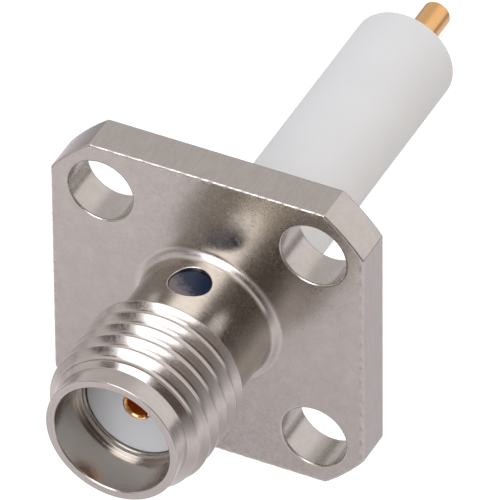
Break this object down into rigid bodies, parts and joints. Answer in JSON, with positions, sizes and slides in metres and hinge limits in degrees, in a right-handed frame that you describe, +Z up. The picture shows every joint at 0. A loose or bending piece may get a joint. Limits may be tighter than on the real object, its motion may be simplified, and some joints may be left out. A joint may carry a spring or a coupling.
{
  "type": "sma receptacle",
  "caption": "Square-flange coaxial panel receptacle with a threaded socket in front and a long cylindrical insulator and solder pin behind.",
  "frame": {"origin": "on the mating axis, in the plane of the flange's rear face, which seats on the panel", "axes": "+Y along the mating axis towards the solder pin, the mating end facing -Y; +Z up, through the epoxy hole at the top of the neck; +X to the right as seen from the mating end"},
  "size_m": [0.0126, 0.0276, 0.0126],
  "materials": {
    "body": "passivated stainless steel, satin, fine turning marks",
    "insulator": "white PTFE, matte",
    "contact": "gold plating on beryllium copper, semi-gloss",
    "epoxy": "cured dark epoxy, glossy"
  },
  "bodies": {
    "root": {"body": "body", "insulator": "insulator", "center_contact": "contact", "epoxy_plug": "epoxy"}
  },
  "joints": []
}
